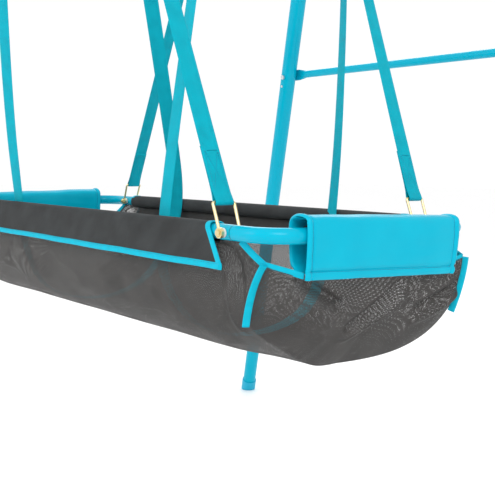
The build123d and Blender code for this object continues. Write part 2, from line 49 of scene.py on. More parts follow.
# ---------------------------------------------------------------- camera, floor and light
# A camera near the height of the basket, a white studio floor and three soft lamps.
camera_turn, camera_tilt, camera_roll = (math.radians(a) for a in (51.69, -5.46, 0.74))
bpy.ops.object.camera_add()
camera = bpy.context.object
camera.data.lens = 61.94
camera.matrix_world = (Matrix.Translation((1.5904, -1.0238, 0.8483))
                       @ Matrix.Rotation(camera_turn, 4, "Z")
                       @ Matrix.Rotation(math.pi / 2 + camera_tilt, 4, "X")
                       @ Matrix.Rotation(camera_roll, 4, "Z"))
scene.camera = camera
scene.view_settings.view_transform = "Standard"


def linear(hex_colour):
    """sRGB hex colour as the linear colour that a shader takes."""
    channels = [int(hex_colour[i:i + 2], 16) / 255 for i in (1, 3, 5)]
    return [c / 12.92 if c <= 0.04045 else ((c + 0.055) / 1.055) ** 2.4 for c in channels] + [1.0]


def new_material(name, **constants):
    """Material with one Principled shader, whose constants are set on its own sockets."""
    material = bpy.data.materials.new(name)
    material.use_nodes = True
    shader = material.node_tree.nodes["Principled BSDF"]
    for socket, value in constants.items():
        shader.inputs[socket.replace("_", " ")].default_value = value
    return material, material.node_tree, shader


def add_node(tree, kind, inputs, **settings):
    """Node with its settings; an input is a value, or an output socket to link."""
    made = tree.nodes.new("ShaderNode" + kind)
    for name, value in settings.items():
        setattr(made, name, value)
    for socket, value in inputs.items():
        if isinstance(value, bpy.types.NodeSocket):
            tree.links.new(value, made.inputs[socket])
        else:
            made.inputs[socket].default_value = value
    return made


def studio_floor():
    """Matt white paper roll: it gives even light from below and a soft shadow."""
    material, tree, shader = new_material("matt_white_paper", Roughness=0.9)
    place = add_node(tree, "TexCoord", {}).outputs["Object"]
    fibres = add_node(tree, "TexNoise", {"Vector": place, "Scale": 90.0, "Detail": 3.0}).outputs["Fac"]
    colour = add_node(tree, "Mix", {"Factor": fibres, 6: linear("#FAFAFA"), 7: linear("#FFFFFF")},
                      data_type="RGBA")
    tree.links.new(colour.outputs[2], shader.inputs["Base Color"])
    # A bump's height runs from 0 to 1, and its distance is the real depth in metres.
    raised = add_node(tree, "Bump", {"Height": fibres, "Distance": 0.0002})
    tree.links.new(raised.outputs["Normal"], shader.inputs["Normal"])
    return material


bpy.ops.mesh.primitive_plane_add(size=60)
floor = bpy.context.object
floor.name = "studio_floor"
floor.data.materials.append(studio_floor())

world = bpy.data.worlds.new("studio")
world.use_nodes = True
world.node_tree.nodes["Background"].inputs["Color"].default_value = linear("#FFFFFF")
world.node_tree.nodes["Background"].inputs["Strength"].default_value = 1.02
scene.world = world

for lamp_name, lamp_place, lamp_size, power in (
        ("key_softbox", (3.0, -2.2, 3.2), 2.0, 75.0),
        ("fill_softbox", (-1.5, -3.8, 2.4), 2.4, 45.0),
        ("back_softbox", (-2.6, 2.8, 3.4), 2.4, 45.0)):
    bpy.ops.object.light_add(type="AREA", location=lamp_place)
    lamp = bpy.context.object
    lamp.name = lamp_name
    lamp.data.size = lamp_size
    lamp.data.energy = power
    towards = Vector((0, 0, 0.75)) - Vector(lamp_place)
    lamp.rotation_euler = towards.to_track_quat("-Z", "Y").to_euler()


# ---------------------------------------------------------------- slings
# Two loose webbing slings, each a single length of flat turquoise webbing that hangs from an
# outer hook, runs down into the basket, across its floor, and up to an inner hook.
WEBBING_WIDTH = 0.035
SLING_THICK = 0.0016
OUTER_HOOK_Y, INNER_HOOK_Y = 0.436, 0.190
HOOK_BAR_RISE = 0.005    # from the lowest point of a hook up to its bar
SLING_DROP = 0.012       # from a hook's bar down to the start of the sling's single layer


def woven_webbing():
    """Polypropylene webbing, woven in a herringbone: a low sheen on fine slanting ribs."""
    material, tree, shader = new_material("polypropylene_webbing", Roughness=0.6, IOR=1.49,
                                          Specular_IOR_Level=0.1)
    place = add_node(tree, "UVMap", {}, uv_map="cloth").outputs["UV"]
    parts = add_node(tree, "SeparateXYZ", {"Vector": place})
    # The herringbone has four rows across the width; real ribs are 1.1 mm apart, drawn at 2.2.
    rows = add_node(tree, "Math", {0: parts.outputs["X"], 1: WEBBING_WIDTH / 4},
                    operation="PINGPONG").outputs[0]
    slant = add_node(tree, "Math", {0: parts.outputs["Y"], 1: rows}, operation="ADD").outputs[0]
    turns = add_node(tree, "Math", {0: slant, 1: math.tau / 0.0022}, operation="MULTIPLY").outputs[0]
    wave = add_node(tree, "Math", {0: turns}, operation="SINE").outputs[0]
    ribs = add_node(tree, "MapRange", {"Value": wave, "From Min": -1.0}).outputs[0]
    patches = add_node(tree, "TexNoise", {"Vector": place, "Scale": 38.0, "Detail": 4.0}).outputs["Fac"]
    lit = add_node(tree, "Math", {0: ribs, 1: 0.65, 2: patches}, operation="MULTIPLY_ADD").outputs[0]
    colour = add_node(tree, "Mix", {"Factor": lit, 6: linear("#007B8E"), 7: linear("#00A9BC")},
                      data_type="RGBA")
    tree.links.new(colour.outputs[2], shader.inputs["Base Color"])
    gloss = add_node(tree, "MapRange", {"Value": patches, "To Min": 0.48, "To Max": 0.68})
    tree.links.new(gloss.outputs[0], shader.inputs["Roughness"])
    raised = add_node(tree, "Bump", {"Height": ribs, "Distance": 0.0003})
    tree.links.new(raised.outputs["Normal"], shader.inputs["Normal"])
    return material


def smooth_line(points, steps=12):
    """Points read along the smooth NURBS line that has these control points."""
    curve = bpy.data.curves.new("line", "CURVE")
    curve.dimensions = "3D"
    curve.resolution_u = steps
    spline = curve.splines.new("NURBS")
    spline.points.add(len(points) - 1)
    for knot, place in zip(spline.points, points):
        knot.co = (*place, 1.0)
    spline.order_u = 3
    spline.use_endpoint_u = True
    holder = bpy.data.objects.new("line", curve)
    mesh = bpy.data.meshes.new_from_object(holder)
    line = [vertex.co.copy() for vertex in mesh.vertices]
    bpy.data.objects.remove(holder)
    bpy.data.curves.remove(curve)
    bpy.data.meshes.remove(mesh)
    return line


def new_piece(name, places, faces, uvs, material):
    """Smooth-shaded piece on the hammock; its UV map holds metres along the cloth."""
    mesh = bpy.data.meshes.new(name)
    mesh.from_pydata([tuple(p) for p in places], [], faces)
    layer = mesh.uv_layers.new(name="cloth")
    for polygon, corners in zip(mesh.polygons, uvs):
        for loop, uv in zip(polygon.loop_indices, corners):
            layer.data[loop].uv = uv
    mesh.materials.append(material)
    mesh.shade_smooth()
    piece = bpy.data.objects.new(name, mesh)
    scene.collection.objects.link(piece)
    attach(piece, "hammock")
    return piece


def distances(line):
    """Distance from the start of a line to each of its points."""
    out = [0.0]
    for before, here in zip(line, line[1:]):
        out.append(out[-1] + (here - before).length)
    return out


def direction(line, i):
    return (line[min(i + 1, len(line) - 1)] - line[max(i - 1, 0)]).normalized()


def band(name, line, across, width, thick, material):
    """Flat band along a line, thinner at its two edges; across gives its width direction."""
    shares = (-1.0, -0.94, -0.8, -0.4, 0.0, 0.4, 0.8, 0.94, 1.0)
    profile = [(s, 1) for s in shares] + [(s, -1) for s in reversed(shares)]
    run = distances(line)
    places, faces, uvs = [], [], []
    for i, (place, wide) in enumerate(zip(line, across)):
        face_way = direction(line, i).cross(wide).normalized()
        for share, face in profile:
            rise = face * thick / 2 * (1 - 0.75 * abs(share) ** 10)
            places.append(place + wide * (share * width / 2) + face_way * rise)
    size = len(profile)
    for i in range(len(line) - 1):
        for j in range(size):
            k = (j + 1) % size
            faces.append((i * size + j, (i + 1) * size + j, (i + 1) * size + k, i * size + k))
            near, far = profile[j][0] * width / 2, profile[k][0] * width / 2
            uvs.append(((near, run[i]), (near, run[i + 1]), (far, run[i + 1]), (far, run[i])))
    for first, flip in ((0, 1), ((len(line) - 1) * size, -1)):
        faces.append(tuple(first + j for j in range(size))[::flip])
        uvs.append([(profile[j][0] * width / 2, run[0] if first == 0 else run[-1])
                    for j in range(size)][::flip])
    return new_piece(name, places, faces, uvs, material)


rim_low, rim_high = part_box("long_tube_far")
tube_r = (rim_high.z - rim_low.z) / 2
rim_y = (rim_low.y + rim_high.y) / 2
rim_z = (rim_low.z + rim_high.z) / 2
hook_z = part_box("main_hook_far")[0].z + HOOK_BAR_RISE
sling_top = hook_z - SLING_DROP
sling_route = [
    (0.000, -OUTER_HOOK_Y, sling_top), (-0.080, -0.374, sling_top - 0.380), (-0.178, -0.302, 1.331),
    (-0.249, -0.245, 0.959), (-0.291, -0.205, 0.757), (-0.294, -0.200, 0.653),
    (-0.297, -0.163, 0.566), (-0.293, -0.100, 0.528), (-0.290, -0.004, 0.515),
    (-0.291, 0.084, 0.531), (-0.293, 0.150, 0.574), (-0.294, 0.199, 0.651),
    (-0.288, 0.200, 0.759), (-0.252, 0.142, 0.955), (-0.163, 0.020, 1.335),
    (-0.076, -0.098, sling_top - 0.382), (0.000, -INNER_HOOK_Y, sling_top),
]
# Neither sling hangs quite true: each is pulled aside at some points of its route.
sling_shifts = {
    "left": {3: (-0.006, -0.007), 4: (-0.006, -0.007), 12: (0.040, 0.002), 13: (0.024, 0.014),
             14: (0.012, 0.016)},
    "right": {1: (0.030, 0.024), 2: (0.034, 0.026), 3: (0.030, 0.012), 4: (0.024, 0.002),
              5: (0.010, 0.0), 6: (0.006, 0.0), 7: (0.006, 0.0), 12: (0.017, 0.0), 13: (0.006, 0.0)},
}
# How far each sling's width is turned from the X axis at each point of its route, in degrees.
left_turns = (90, 60, 16, 12, 8, 0, 0, 0, 0, 0, 0, 6, 28, 46, 48, 60, 90)
right_turns = (-90, -50, -24, -18, -14, -6, 0, 0, 0, 0, 0, 0, 0, 0, -2, -20, -90)
webbing = woven_webbing()
for sling_name, way, turns in (("left", 1, left_turns), ("right", -1, right_turns)):
    route = [Vector((way * x, way * y, z)) for x, y, z in sling_route]
    for i, shift in sling_shifts[sling_name].items():
        route[i] += Vector((*shift, 0))
    edges = []
    for edge in (-1, 1):
        reach = edge * WEBBING_WIDTH / 2
        edges.append(smooth_line([
            place + Vector((math.cos(math.radians(turn)), math.sin(math.radians(turn)), 0)) * reach
            for place, turn in zip(route, turns)]))
    sling_line = smooth_line(route)
    across = []
    for i, (near_edge, far_edge) in enumerate(zip(*edges)):
        wide = far_edge - near_edge
        along_line = direction(sling_line, i)
        across.append((wide - along_line * wide.dot(along_line)).normalized())
    sling = band(f"sling_webbing_{sling_name}", sling_line, across, WEBBING_WIDTH, SLING_THICK,
                 webbing)
    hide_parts(f"sling_{sling_name}")


# ---------------------------------------------------------------- sling loops
# Each end of a sling is folded over its hook's bar and sewn back on itself.
HOOK_WRAP = 0.0053       # from the axis of a hook's bar to the middle of the webbing on it
LOOP_TAIL = 0.075


def around(middle, radius, first, last, count, side_way, up_way):
    """Control points round a bar, between two angles in degrees from side_way."""
    out = []
    for i in range(count):
        angle = math.radians(first + (last - first) * i / (count - 1))
        out.append(middle + (side_way * math.cos(angle) + up_way * math.sin(angle)) * radius)
    return out


along_x, along_y, along_z = Vector((1, 0, 0)), Vector((0, 1, 0)), Vector((0, 0, 1))
for loop_name, loop_y, lean in (("outer_near", -OUTER_HOOK_Y, -1), ("inner_near", -INNER_HOOK_Y, -1),
                                ("inner_far", INNER_HOOK_Y, 1), ("outer_far", OUTER_HOOK_Y, 1)):
    bar = Vector((0, loop_y, hook_z))
    control = [bar + Vector((-lean * 0.0012, 0, -SLING_DROP - LOOP_TAIL)),
               bar + Vector((-lean * 0.0018, 0, -0.030))]
    control += around(bar, HOOK_WRAP * 1.05, 180 if lean > 0 else 0, 0 if lean > 0 else 180, 6,
                      along_x, along_z)
    control += [bar + Vector((lean * 0.0036, 0, -0.009)), bar + Vector((lean * 0.0020, 0, -0.014))]
    loop_line = smooth_line(control, 6)
    band(f"sling_loop_{loop_name}", loop_line, [along_y] * len(loop_line), WEBBING_WIDTH,
         SLING_THICK, webbing)


# ---------------------------------------------------------------- hammock straps
# The load-bearing straps: one turquoise webbing each side, sewn round a corner ring, up over
# the main hook's bar, and down to the other ring. The ends are doubled back and box-stitched.
STRAP_THICK = 0.002
RING_HEIGHT = 0.050      # from the ring bolt to the bar that the strap lies on
RING_WRAP = 0.0040       # from that bar's axis to the middle of the webbing on it
RING_EYE_REACH = 0.0085  # from the bolt to the outside of a ring's eye
TAIL = 0.095
STRAP_TWIST = 0.16       # the most that a strap turns on its way up, in radians
BOX_START, BOX_END, BOX_HALF = 0.020, 0.086, 0.0125
bolt_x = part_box("corner_ring_far_right")[1].x - RING_EYE_REACH
ring_lean = math.atan2(bolt_x, hook_z - rim_z)


def sewing_thread():
    """Bonded polyester thread: a smooth, slightly glossy twist, a shade darker than the cloth."""
    material, tree, shader = new_material("bonded_polyester_thread", Roughness=0.4)
    place = add_node(tree, "TexCoord", {}).outputs["Object"]
    twist = add_node(tree, "TexNoise", {"Vector": place, "Scale": 900.0}).outputs["Fac"]
    colour = add_node(tree, "Mix", {"Factor": twist, 6: linear("#006C8C"), 7: linear("#0095B6")},
                      data_type="RGBA")
    tree.links.new(colour.outputs[2], shader.inputs["Base Color"])
    raised = add_node(tree, "Bump", {"Height": twist, "Distance": 0.0001})
    tree.links.new(raised.outputs["Normal"], shader.inputs["Normal"])
    return material


def stitches(name, lines, pitch, material):
    """One piece that holds rows of short stitches; each line is (points, way out of the cloth)."""
    places, faces = [], []
    length, thick = pitch * 0.36, 0.00045
    for line, outs in lines:
        run = distances(line)
        for n in range(int(run[-1] / pitch)):
            at = (n + 0.5) * pitch
            i = max(k for k in range(len(run)) if run[k] <= at)
            share = (at - run[i]) / max(run[i + 1] - run[i], 1e-9)
            middle = line[i].lerp(line[i + 1], share)
            way = (line[i + 1] - line[i]).normalized()
            out = outs[i].lerp(outs[i + 1], share).normalized()
            wide = way.cross(out).normalized()
            first = len(places)
            places.append(middle - way * length - out * thick)
            for shift in (-0.6, 0.6):
                for across_part, out_part in ((1, 0), (0, 1.2), (-1, 0), (0, -1)):
                    places.append(middle + way * (shift * length) + wide * (across_part * thick)
                                  + out * (out_part * thick))
            places.append(middle + way * length - out * thick)
            for k in range(4):
                m = (k + 1) % 4
                faces.append((first, first + 1 + m, first + 1 + k))
                faces.append((first + 1 + k, first + 1 + m, first + 5 + m, first + 5 + k))
                faces.append((first + 9, first + 5 + k, first + 5 + m))
    return new_piece(name, places, faces, [[(0, 0)] * len(f) for f in faces], material)


thread = sewing_thread()
for side_name, side in (("near", -1), ("far", 1)):
    hook_low, hook_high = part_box(f"main_hook_{side_name}")
    bar = Vector((0, (hook_low.y + hook_high.y) / 2, hook_z))
    control = []
    tails = []
    for end in (1, -1):
        ring = Vector((end * (bolt_x - RING_HEIGHT * math.sin(ring_lean)), side * rim_y,
                       rim_z + RING_HEIGHT * math.cos(ring_lean)))
        rise = (bar - ring).normalized()
        wide = (along_y - rise * along_y.dot(rise)).normalized()
        out = Vector((end, 0, 0))
        out = (out - rise * out.dot(rise)).normalized()
        half = [ring + rise * TAIL - out * 0.0011, ring + rise * (TAIL - 0.03) - out * 0.0011,
                ring + rise * 0.020 - out * 0.0013, ring + rise * 0.008 - out * 0.0030]
        half += around(ring, RING_WRAP * 1.1, 180, 360, 6, out, rise)
        half += [ring + rise * 0.008 + out * 0.0030, ring + rise * 0.020 + out * 0.0012,
                 ring + rise * (TAIL - 0.03) + out * 0.0011, ring + rise * (TAIL + 0.02) + out * 0.0004]
        half += [ring.lerp(bar, share) for share in (0.2, 0.35, 0.5, 0.65, 0.8, 0.92)]
        half += around(bar, HOOK_WRAP * 1.06, 21, 84, 3, along_x * end, along_z)
        control += half if end == 1 else half[::-1]
        tails.append((ring, rise, wide, out))
    strap_line = smooth_line(control, 8)
    across = []
    for i, place in enumerate(strap_line):
        way = direction(strap_line, i)
        height = (place.z - rim_z) / (hook_z - rim_z)
        # It lies flat at the ring and at the hook, and is turned most halfway between them.
        twist = STRAP_TWIST * math.sin(math.pi * min(max((height - 0.11) / 0.85, 0), 1))
        base = (along_y - way * along_y.dot(way)).normalized()
        across.append(Matrix.Rotation(twist * (1 if place.x > 0 else -1), 3, way) @ base)
    strap = band(f"strap_webbing_{side_name}", strap_line, across, WEBBING_WIDTH, STRAP_THICK,
                 webbing)
    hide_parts(f"strap_{side_name}")

    # Box stitch with a cross, through both layers of each tail.
    seams = []
    for ring, rise, wide, out in tails:
        for face in (-1, 1):
            off = out * (face * (STRAP_THICK + 0.0002))
            corners = [ring + rise * up + wide * sideways + off for up, sideways in
                       ((BOX_START, -BOX_HALF), (BOX_START, BOX_HALF),
                        (BOX_END, BOX_HALF), (BOX_END, -BOX_HALF))]
            loop = corners + [corners[0], corners[2], corners[3], corners[1]]
            seams += [([a, b], [out * face] * 2) for a, b in zip(loop, loop[1:])]
    stitches(f"strap_stitches_{side_name}", seams, 0.0042, thread)


# ---------------------------------------------------------------- mesh basket
# The boat-shaped basket: a trough of black PVC-coated mesh, sewn under the long tubes, and a
# sewn-in end panel under each cuff. The corners are left open and their edges are bound.
MESH_PITCH = 0.0026
MESH_THICK = 0.0006


def coated_mesh():
    """PVC-coated polyester mesh: dark grey threads with holes between them, seen through."""
    material, tree, shader = new_material("pvc_coated_mesh", Roughness=0.6, Specular_IOR_Level=0.3)
    place = add_node(tree, "UVMap", {}, uv_map="cloth").outputs["UV"]
    parts = add_node(tree, "SeparateXYZ", {"Vector": place})
    # Real threads are 1.2 mm apart; they are drawn twice as coarse, to show at all.
    threads = []
    for axis in ("X", "Y"):
        turn = add_node(tree, "Math", {0: parts.outputs[axis], 1: math.tau / MESH_PITCH},
                        operation="MULTIPLY").outputs[0]
        threads.append(add_node(tree, "Math", {0: turn}, operation="SINE").outputs[0])
    least = add_node(tree, "Math", {0: threads[0], 1: threads[1]}, operation="MINIMUM").outputs[0]
    solid = add_node(tree, "Math", {0: least, 1: -0.23}, operation="LESS_THAN").outputs[0]
    patches = add_node(tree, "TexNoise", {"Vector": place, "Scale": 14.0, "Detail": 3.0}).outputs["Fac"]
    crowns = add_node(tree, "MapRange", {"Value": least, "From Min": -1.0}).outputs[0]
    shade = add_node(tree, "Math", {0: crowns, 1: 0.5, 2: patches}, operation="MULTIPLY_ADD").outputs[0]
    colour = add_node(tree, "Mix", {"Factor": shade, 6: linear("#504D4B"), 7: linear("#363433")},
                      data_type="RGBA")
    tree.links.new(colour.outputs[2], shader.inputs["Base Color"])
    gloss = add_node(tree, "MapRange", {"Value": patches, "To Min": 0.5, "To Max": 0.7})
    tree.links.new(gloss.outputs[0], shader.inputs["Roughness"])
    tree.links.new(solid, shader.inputs["Alpha"])
    raised = add_node(tree, "Bump", {"Height": crowns, "Distance": 0.0004, "Strength": 0.7})
    tree.links.new(raised.outputs["Normal"], shader.inputs["Normal"])
    return material


def at_share(line, share):
    """Point at a share of a line's length."""
    run = distances(line)
    target = share * run[-1]
    i = 0
    while i < len(line) - 2 and run[i + 1] < target:
        i += 1
    return line[i].lerp(line[i + 1], (target - run[i]) / max(run[i + 1] - run[i], 1e-9))


def evenly(line, count):
    return [at_share(line, i / (count - 1)) for i in range(count)]


def cloth(name, rows, material):
    """Cloth through a grid of points, with its UV map in metres of cloth."""
    count = len(rows[0])
    run_across = [distances(row) for row in rows]
    run_down = [distances([row[j] for row in rows]) for j in range(count)]
    middle = count // 2
    places = [place for row in rows for place in row]
    faces, uvs = [], []
    for i in range(len(rows) - 1):
        for j in range(count - 1):
            corners = ((i, j), (i, j + 1), (i + 1, j + 1), (i + 1, j))
            if (rows[i][j] - rows[i + 1][j]).length + (rows[i][j + 1] - rows[i + 1][j + 1]).length < 1e-6:
                continue
            faces.append(tuple(a * count + b for a, b in corners))
            uvs.append([(run_across[a][b] - run_across[a][middle], run_down[b][a]) for a, b in corners])
    return new_piece(name, places, faces, uvs, material)


def thicken(piece, thick):
    """Gives a sheet its thickness, inwards from its outer face."""
    solid = piece.modifiers.new("thickness", "SOLIDIFY")
    solid.thickness = thick
    solid.offset = -1
    bpy.context.view_layer.objects.active = piece
    bpy.ops.object.modifier_apply(modifier="thickness")
    piece.data.shade_smooth()


def smooth_step(x):
    x = min(max(x, 0.0), 1.0)
    return x * x * (3 - 2 * x)


rim = Vector((0, 0, rim_z))
BASKET_HALF = 0.2225
BASKET_DEPTH = 0.236
BASKET_SIDE = 0.045      # the height at which the sides start to turn in, below the rim
SECTION_POWER = 2.4      # a squarish ellipse: 2 would be round
half_section = [Vector((0, BASKET_HALF + 0.002, -tube_r - 0.002))]
for i in range(41):
    turn = math.pi / 2 * i / 40
    half_section.append(Vector((0, BASKET_HALF * math.cos(turn) ** (2 / SECTION_POWER),
                                -BASKET_SIDE - (BASKET_DEPTH - BASKET_SIDE)
                                * math.sin(turn) ** (2 / SECTION_POWER))))

# Corner lines, for the right end and the far side: the open edge of the side panel, the knot
# where three edges meet, the bound seam below it, and on to the middle of the floor.
# One corner of each end is pulled in by the cloth, and the other one stands out.
SIDE_EDGE_TOP = Vector((0.562, 0.2235, -0.012))
FLOOR_POINT = Vector((0.545, 0.0, -0.2355))
KNOTS = {"in": Vector((0.592, 0.202, -0.047)), "out": Vector((0.646, 0.208, -0.052))}
SEAMS = {"in": [Vector((0.563, 0.205, -0.085)), Vector((0.548, 0.201, -0.149)),
                Vector((0.552, 0.150, -0.184)), Vector((0.549, 0.082, -0.222)),
                Vector((0.547, 0.040, -0.237))],
         "out": [Vector((0.641, 0.208, -0.100)), Vector((0.624, 0.201, -0.152)),
                 Vector((0.598, 0.158, -0.203)), Vector((0.566, 0.080, -0.233))]}
HEM_CORNER = Vector((0.643, 0.166, -0.061))
EDGE_SAG = 0.002


def placed(point, end, side):
    return Vector((end * point.x, side * point.y, point.z)) + rim


def corner_kind(end, side):
    return "in" if end * side < 0 else "out"


def seam_line(end, side):
    kind = corner_kind(end, side)
    return smooth_line([placed(p, end, side) for p in [KNOTS[kind]] + SEAMS[kind] + [FLOOR_POINT]])


def open_edge(end, side):
    """Control points of the side panel's free edge, which sags a little from tube to knot."""
    top = placed(SIDE_EDGE_TOP, end, side)
    knot = placed(KNOTS[corner_kind(end, side)], end, side)
    return [top, top.lerp(knot, 0.5) + Vector((-end * EDGE_SAG, 0, -EDGE_SAG)), knot]


def side_line(end, side):
    """Whole edge of the side panel, from the tube down to the middle of the floor."""
    return open_edge(end, side)[:2] + seam_line(end, side)


def crease(across, up, points, depth, width):
    """Depth of a fold along a line of points on a panel, seen flat."""
    p = Vector((across, up))
    best = 1.0
    for start, stop in zip(points, points[1:]):
        a, b = Vector(start), Vector(stop)
        share = min(max((p - a).dot(b - a) / (b - a).length_squared, 0), 1)
        best = min(best, (p - a.lerp(b, share)).length)
    return depth * math.exp(-(best / width) ** 2)


mesh_cloth = coated_mesh()
STATIONS = 281
ROWS = 48
TAPER_START = 0.40       # from here outwards the section turns into the shape of its end
SIDE_RIPPLE = 0.0035
# The side panels are gathered where the sleeve ends: one sharp fold between two soft ribs, each
# as its line in (x, z) from the rim, its depth inwards and its width.
GATHER_X, GATHER_REACH = 0.55, 0.10
SIDE_CREASES = (
    (((0.524, -0.012), (0.528, -0.050), (0.540, -0.090), (0.540, -0.135)), 0.019, 0.007),
    (((0.506, -0.030), (0.512, -0.090), (0.518, -0.160)), -0.006, 0.010),
    (((0.545, -0.020), (0.552, -0.060)), -0.004, 0.008),
)
trough_rows = []
for side in (-1, 1):
    section = evenly(half_section, ROWS)
    edges = {end: evenly(side_line(end, side), ROWS) for end in (-1, 1)}
    rows = []
    for r in range(ROWS):
        row = []
        for s in range(STATIONS):
            u = 2 * s / (STATIONS - 1) - 1
            end = 1 if u > 0 else -1
            edge = edges[end][r]
            x = abs(u) * abs(edge.x)
            turn_in = smooth_step((x - TAPER_START) / (abs(edge.x) - TAPER_START))
            base = Vector((end * x, side * section[r].y, section[r].z + rim_z))
            target = Vector((end * x, edge.y, edge.z))
            place = base.lerp(target, turn_in)
            free = math.sin(math.pi * min(r / (ROWS - 1) * 1.6, 1.0)) if r < ROWS * 0.6 else 1.0
            ripple = noise.noise(Vector((place.x * 7, place.y * 5, place.z * 4 + 3 * side)))
            place += Vector((0, side * SIDE_RIPPLE * ripple * free * (1 - turn_in), 0))
            if abs(x - GATHER_X) < GATHER_REACH and r > 1:
                seen = (abs(place.x), place.z - rim_z)
                fold = sum(crease(*seen, *one) for one in SIDE_CREASES)
                place += Vector((0, -side * fold * (1 - turn_in ** 10), 0))
            row.append(place)
        rows.append(row)
    trough_rows += rows if side < 0 else rows[::-1][1:]
trough = cloth("basket_trough", trough_rows, mesh_cloth)
thicken(trough, MESH_THICK)
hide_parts("mesh_basket")

# End panels: each is cut as a wide half round, and hangs a little full from the cuff's hem.
PANEL_COLUMNS = 161
PANEL_ROWS = 61
HEM_SWELL = 0.006        # how far the hem stands out between its corners
PANEL_FULLNESS = 0.026
PANEL_RIPPLE = 0.005
SEAM_POINTS = 61
# Three folds run in from the hem, each as its line in (y, z) from the rim, with a soft ridge
# below it.
END_FOLDS = (((-0.164, -0.066), (-0.078, -0.108)), ((0.050, -0.084), (-0.040, -0.146)),
             ((0.200, -0.098), (0.100, -0.124)))
FOLD_DEPTH, FOLD_WIDTH = 0.015, 0.008
RIDGE_HEIGHT, RIDGE_WIDTH, RIDGE_DROP = 0.007, 0.010, 0.016
for end_name, end in (("left", -1), ("right", 1)):
    near_seam = evenly(seam_line(end, -1), SEAM_POINTS)
    far_seam = evenly(seam_line(end, 1), SEAM_POINTS)
    seam = near_seam + far_seam[::-1][1:]
    near_knot, far_knot = near_seam[0], far_seam[0]
    near_corner, far_corner = placed(HEM_CORNER, end, -1), placed(HEM_CORNER, end, 1)
    top = smooth_line([near_knot, near_knot.lerp(near_corner, 0.5),
                       near_corner, near_corner.lerp(far_corner, 0.25) + along_x * (end * HEM_SWELL),
                       near_corner.lerp(far_corner, 0.75) + along_x * (end * HEM_SWELL), far_corner,
                       far_knot.lerp(far_corner, 0.5), far_knot])
    top = evenly(top, PANEL_COLUMNS)
    seam = evenly(seam, PANEL_COLUMNS)
    rows = []
    for r in range(PANEL_ROWS):
        v = r / (PANEL_ROWS - 1)
        row = []
        for c in range(PANEL_COLUMNS):
            t = c / (PANEL_COLUMNS - 1)
            place = top[c].lerp(seam[c], v)
            full = math.sin(math.pi * v) * math.sin(math.pi * t) ** 0.7
            out = Vector((end * 0.80, 0.25 * (2 * t - 1), -0.55))
            ripple = noise.noise(Vector((place.x * 6, place.y * 9, place.z * 9 + end)))
            row.append(place + out * (full * (PANEL_FULLNESS + PANEL_RIPPLE * ripple)))
            for fold_line in END_FOLDS:
                seen = (end * place.y, place.z - rim_z)
                fold = crease(*seen, fold_line, FOLD_DEPTH, FOLD_WIDTH)
                fold -= crease(seen[0], seen[1] + RIDGE_DROP, fold_line, RIDGE_HEIGHT, RIDGE_WIDTH)
                row[-1] -= out * (fold * min(8 * v * (1 - v), 1))
        rows.append(row)
    panel = cloth(f"basket_end_{end_name}", rows if end > 0 else rows[::-1], mesh_cloth)
    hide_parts("mesh_basket")
    thicken(panel, MESH_THICK)


# ---------------------------------------------------------------- bindings and corner fins
# Turquoise bias tape is folded over every free edge of the basket, and the seam under each
# corner is bound as a flat fin.
TAPE_WIDTH = 0.011
TAPE_THICK = 0.0030
FIN_WIDTH = 0.0125
FIN_OUT = 0.004


def bias_tape():
    """Woven polyester bias tape: dull, finely ribbed across its length."""
    material, tree, shader = new_material("polyester_bias_tape", Roughness=0.65,
                                          Specular_IOR_Level=0.15)
    place = add_node(tree, "UVMap", {}, uv_map="cloth").outputs["UV"]
    parts = add_node(tree, "SeparateXYZ", {"Vector": place})
    turns = add_node(tree, "Math", {0: parts.outputs["Y"], 1: math.tau / 0.0016},
                     operation="MULTIPLY").outputs[0]
    ribs = add_node(tree, "MapRange", {"Value": add_node(tree, "Math", {0: turns}, operation="SINE")
                                       .outputs[0], "From Min": -1.0}).outputs[0]
    wear = add_node(tree, "TexNoise", {"Vector": place, "Scale": 60.0, "Detail": 3.0}).outputs["Fac"]
    lit = add_node(tree, "Math", {0: ribs, 1: 0.4, 2: wear}, operation="MULTIPLY_ADD").outputs[0]
    colour = add_node(tree, "Mix", {"Factor": lit, 6: linear("#0095AE"), 7: linear("#00B8D2")},
                      data_type="RGBA")
    tree.links.new(colour.outputs[2], shader.inputs["Base Color"])
    gloss = add_node(tree, "MapRange", {"Value": wear, "To Min": 0.5, "To Max": 0.75})
    tree.links.new(gloss.outputs[0], shader.inputs["Roughness"])
    raised = add_node(tree, "Bump", {"Height": ribs, "Distance": 0.00025})
    tree.links.new(raised.outputs["Normal"], shader.inputs["Normal"])
    return material


def edge_tape(name, line, across, width=TAPE_WIDTH):
    """Tape over an edge: it follows the edge, and its width lies across it."""
    squared = []
    for i, wide in enumerate(across):
        way = direction(line, i)
        squared.append((wide - way * wide.dot(way)).normalized())
    return band(name, line, squared, width, TAPE_THICK, tape)


tape = bias_tape()
for end_name, end in (("left", -1), ("right", 1)):
    for side_name, side in (("near", -1), ("far", 1)):
        corner = f"{side_name}_{end_name}"
        kind = corner_kind(end, side)
        knot = placed(KNOTS[kind], end, side)
        hem = placed(HEM_CORNER, end, side)
        side_edge = smooth_line(open_edge(end, side))
        edge_tape(f"side_binding_{corner}", side_edge, [Vector((end * 0.4, side * -0.2, 0.9))]
                  * len(side_edge))
        low_edge = smooth_line([knot, knot.lerp(hem, 0.5), hem])
        edge_tape(f"end_binding_{corner}", low_edge, [Vector((end * 0.2, side * 0.2, 0.95))]
                  * len(low_edge))
        fin_line = smooth_line([placed(p, end, side) + Vector((end * FIN_OUT, side * FIN_OUT, 0))
                                for p in [KNOTS[kind]] + SEAMS[kind][:2]])
        fin_way = Vector((-end * 0.35, side * 0.9, 0)) if kind == "in" else Vector((end, side * 0.5, 0))
        edge_tape(f"corner_fin_{corner}", fin_line, [fin_way] * len(fin_line), FIN_WIDTH)


